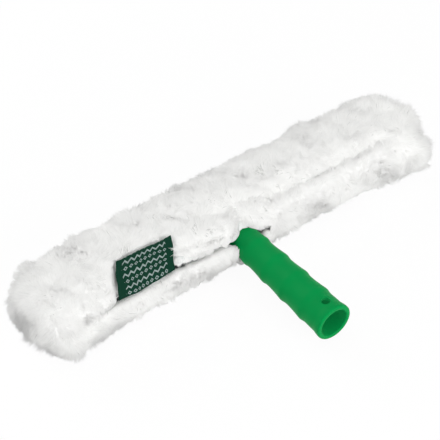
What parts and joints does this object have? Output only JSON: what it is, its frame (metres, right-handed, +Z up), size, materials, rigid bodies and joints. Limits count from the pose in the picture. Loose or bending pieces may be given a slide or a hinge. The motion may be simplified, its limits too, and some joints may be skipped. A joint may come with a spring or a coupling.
{
  "type": "window strip washer",
  "caption": "Window strip washer: a white pile sleeve with a fastening flap on a T-bar, with a green scalloped tube handle that takes an extension pole.",
  "frame": {"origin": "on the surface the washer lies on, right under the crossing of the crossbar's axis and the handle's axis", "axes": "+X along the crossbar, -Y along the handle towards its mouth, +Z up from the surface"},
  "size_m": [0.365, 0.1698, 0.054],
  "materials": {
    "handle_plastic": "moulded polypropylene, satin",
    "cap_plastic": "moulded polypropylene, satin",
    "bar_aluminium": "natural anodised extrusion",
    "fastener_steel": "stainless",
    "pile_fleece": "knitted acrylic pile, long and tufted",
    "flap_fleece": "knitted acrylic pile, long and tufted",
    "hem_tape": "woven polyester tape",
    "label_cloth": "woven polyester label with a plain geometric pattern",
    "hook_nylon": "nylon hook tape",
    "loop_nylon": "brushed nylon loop tape"
  },
  "bodies": {
    "washer": {"handle": "handle_plastic", "crossbar": "bar_aluminium", "end_cap_left": "cap_plastic", "end_cap_right": "cap_plastic", "clamp_screw_left": "fastener_steel", "clamp_screw_right": "fastener_steel", "clamp_nut_left": "fastener_steel", "clamp_nut_right": "fastener_steel", "sleeve_wrap": "pile_fleece", "sleeve_end_left": "pile_fleece", "sleeve_end_right": "pile_fleece", "upper_lip_hem": "hem_tape", "lower_lip_hem": "hem_tape", "woven_label": "label_cloth", "loop_tape": "loop_nylon"},
    "flap": {"closing_flap": "flap_fleece", "flap_hem": "hem_tape", "hook_tape": "hook_nylon"}
  },
  "joints": [
    {"name": "flap_fold", "type": "hinge", "parent": "washer", "child": "flap", "pos_m": [0.08365, -0.0352, 0.0442], "axis": [-1, 0, 0], "range_deg": [0, 120]}
  ]
}
